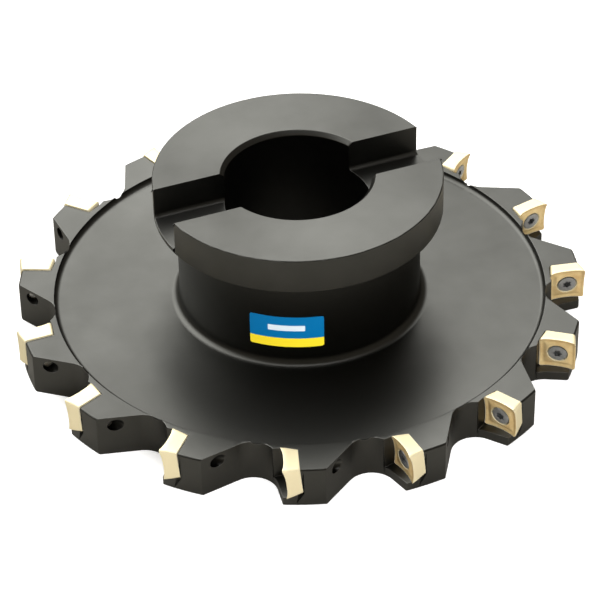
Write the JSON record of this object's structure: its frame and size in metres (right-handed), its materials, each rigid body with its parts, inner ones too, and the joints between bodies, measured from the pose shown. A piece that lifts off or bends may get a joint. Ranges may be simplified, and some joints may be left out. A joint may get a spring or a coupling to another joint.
{
  "type": "indexable disc milling cutter",
  "caption": "Flanged-hub disc milling cutter with square clamped carbide inserts round its rim, a central bore and a cross drive slot.",
  "frame": {"origin": "on the spindle axis, in the plane of the body's bottom face", "axes": "+Z along the spindle axis from the disc towards the flange and its drive slots; +X along the drive slots; +Y completes the right-hand frame"},
  "size_m": [0.1591, 0.1585, 0.05],
  "materials": {
    "body_steel": "black-oxide finish, satin, with fine turning marks",
    "insert_coating": "golden titanium-nitride coating on carbide, smooth",
    "screw_steel": "blued hardened steel, satin",
    "label_film": "printed film, plain blue over yellow"
  },
  "bodies": {
    "cutter": {"cutter_body": "body_steel", "neck_label": "label_film"},
    "insert_body_01": {"insert_01": "insert_coating"},
    "screw_body_01": {"insert_screw_01": "screw_steel"},
    "insert_body_02": {"insert_02": "insert_coating"},
    "screw_body_02": {"insert_screw_02": "screw_steel"},
    "insert_body_03": {"insert_03": "insert_coating"},
    "screw_body_03": {"insert_screw_03": "screw_steel"},
    "insert_body_04": {"insert_04": "insert_coating"},
    "screw_body_04": {"insert_screw_04": "screw_steel"},
    "insert_body_05": {"insert_05": "insert_coating"},
    "screw_body_05": {"insert_screw_05": "screw_steel"},
    "insert_body_06": {"insert_06": "insert_coating"},
    "screw_body_06": {"insert_screw_06": "screw_steel"},
    "insert_body_07": {"insert_07": "insert_coating"},
    "screw_body_07": {"insert_screw_07": "screw_steel"},
    "insert_body_08": {"insert_08": "insert_coating"},
    "screw_body_08": {"insert_screw_08": "screw_steel"},
    "insert_body_09": {"insert_09": "insert_coating"},
    "screw_body_09": {"insert_screw_09": "screw_steel"},
    "insert_body_10": {"insert_10": "insert_coating"},
    "screw_body_10": {"insert_screw_10": "screw_steel"},
    "insert_body_11": {"insert_11": "insert_coating"},
    "screw_body_11": {"insert_screw_11": "screw_steel"},
    "insert_body_12": {"insert_12": "insert_coating"},
    "screw_body_12": {"insert_screw_12": "screw_steel"},
    "insert_body_13": {"insert_13": "insert_coating"},
    "screw_body_13": {"insert_screw_13": "screw_steel"},
    "insert_body_14": {"insert_14": "insert_coating"},
    "screw_body_14": {"insert_screw_14": "screw_steel"},
    "insert_body_15": {"insert_15": "insert_coating"},
    "screw_body_15": {"insert_screw_15": "screw_steel"}
  },
  "joints": [
    {"name": "insert_removal_01", "type": "slide", "parent": "cutter", "child": "insert_body_01", "axis": [0.2068, -0.9728, -0.1045], "range_m": [0, 0.006]},
    {"name": "screw_removal_01", "type": "slide", "parent": "insert_body_01", "child": "screw_body_01", "axis": [0.2068, -0.9728, -0.1045], "range_m": [0, 0.0115]},
    {"name": "insert_removal_02", "type": "slide", "parent": "cutter", "child": "insert_body_02", "axis": [0.5846, -0.8046, -0.1045], "range_m": [0, 0.006]},
    {"name": "screw_removal_02", "type": "slide", "parent": "insert_body_02", "child": "screw_body_02", "axis": [0.5846, -0.8046, -0.1045], "range_m": [0, 0.0115]},
    {"name": "insert_removal_03", "type": "slide", "parent": "cutter", "child": "insert_body_03", "axis": [0.8613, -0.4973, -0.1045], "range_m": [0, 0.006]},
    {"name": "screw_removal_03", "type": "slide", "parent": "insert_body_03", "child": "screw_body_03", "axis": [0.8613, -0.4973, -0.1045], "range_m": [0, 0.0115]},
    {"name": "insert_removal_04", "type": "slide", "parent": "cutter", "child": "insert_body_04", "axis": [0.9891, -0.104, -0.1045], "range_m": [0, 0.006]},
    {"name": "screw_removal_04", "type": "slide", "parent": "insert_body_04", "child": "screw_body_04", "axis": [0.9891, -0.104, -0.1045], "range_m": [0, 0.0115]},
    {"name": "insert_removal_05", "type": "slide", "parent": "cutter", "child": "insert_body_05", "axis": [0.9458, 0.3073, -0.1045], "range_m": [0, 0.006]},
    {"name": "screw_removal_05", "type": "slide", "parent": "insert_body_05", "child": "screw_body_05", "axis": [0.9458, 0.3073, -0.1045], "range_m": [0, 0.0115]},
    {"name": "insert_removal_06", "type": "slide", "parent": "cutter", "child": "insert_body_06", "axis": [0.7391, 0.6655, -0.1045], "range_m": [0, 0.006]},
    {"name": "screw_removal_06", "type": "slide", "parent": "insert_body_06", "child": "screw_body_06", "axis": [0.7391, 0.6655, -0.1045], "range_m": [0, 0.0115]},
    {"name": "insert_removal_07", "type": "slide", "parent": "cutter", "child": "insert_body_07", "axis": [0.4045, 0.9085, -0.1045], "range_m": [0, 0.006]},
    {"name": "screw_removal_07", "type": "slide", "parent": "insert_body_07", "child": "screw_body_07", "axis": [0.4045, 0.9085, -0.1045], "range_m": [0, 0.0115]},
    {"name": "insert_removal_08", "type": "slide", "parent": "cutter", "child": "insert_body_08", "axis": [0, 0.9945, -0.1045], "range_m": [0, 0.006]},
    {"name": "screw_removal_08", "type": "slide", "parent": "insert_body_08", "child": "screw_body_08", "axis": [0, 0.9945, -0.1045], "range_m": [0, 0.0115]},
    {"name": "insert_removal_09", "type": "slide", "parent": "cutter", "child": "insert_body_09", "axis": [-0.4045, 0.9085, -0.1045], "range_m": [0, 0.006]},
    {"name": "screw_removal_09", "type": "slide", "parent": "insert_body_09", "child": "screw_body_09", "axis": [-0.4045, 0.9085, -0.1045], "range_m": [0, 0.0115]},
    {"name": "insert_removal_10", "type": "slide", "parent": "cutter", "child": "insert_body_10", "axis": [-0.7391, 0.6655, -0.1045], "range_m": [0, 0.006]},
    {"name": "screw_removal_10", "type": "slide", "parent": "insert_body_10", "child": "screw_body_10", "axis": [-0.7391, 0.6655, -0.1045], "range_m": [0, 0.0115]},
    {"name": "insert_removal_11", "type": "slide", "parent": "cutter", "child": "insert_body_11", "axis": [-0.9458, 0.3073, -0.1045], "range_m": [0, 0.006]},
    {"name": "screw_removal_11", "type": "slide", "parent": "insert_body_11", "child": "screw_body_11", "axis": [-0.9458, 0.3073, -0.1045], "range_m": [0, 0.0115]},
    {"name": "insert_removal_12", "type": "slide", "parent": "cutter", "child": "insert_body_12", "axis": [-0.9891, -0.104, -0.1045], "range_m": [0, 0.006]},
    {"name": "screw_removal_12", "type": "slide", "parent": "insert_body_12", "child": "screw_body_12", "axis": [-0.9891, -0.104, -0.1045], "range_m": [0, 0.0115]},
    {"name": "insert_removal_13", "type": "slide", "parent": "cutter", "child": "insert_body_13", "axis": [-0.8613, -0.4973, -0.1045], "range_m": [0, 0.006]},
    {"name": "screw_removal_13", "type": "slide", "parent": "insert_body_13", "child": "screw_body_13", "axis": [-0.8613, -0.4973, -0.1045], "range_m": [0, 0.0115]},
    {"name": "insert_removal_14", "type": "slide", "parent": "cutter", "child": "insert_body_14", "axis": [-0.5846, -0.8046, -0.1045], "range_m": [0, 0.006]},
    {"name": "screw_removal_14", "type": "slide", "parent": "insert_body_14", "child": "screw_body_14", "axis": [-0.5846, -0.8046, -0.1045], "range_m": [0, 0.0115]},
    {"name": "insert_removal_15", "type": "slide", "parent": "cutter", "child": "insert_body_15", "axis": [-0.2068, -0.9728, -0.1045], "range_m": [0, 0.006]},
    {"name": "screw_removal_15", "type": "slide", "parent": "insert_body_15", "child": "screw_body_15", "axis": [-0.2068, -0.9728, -0.1045], "range_m": [0, 0.0115]}
  ]
}
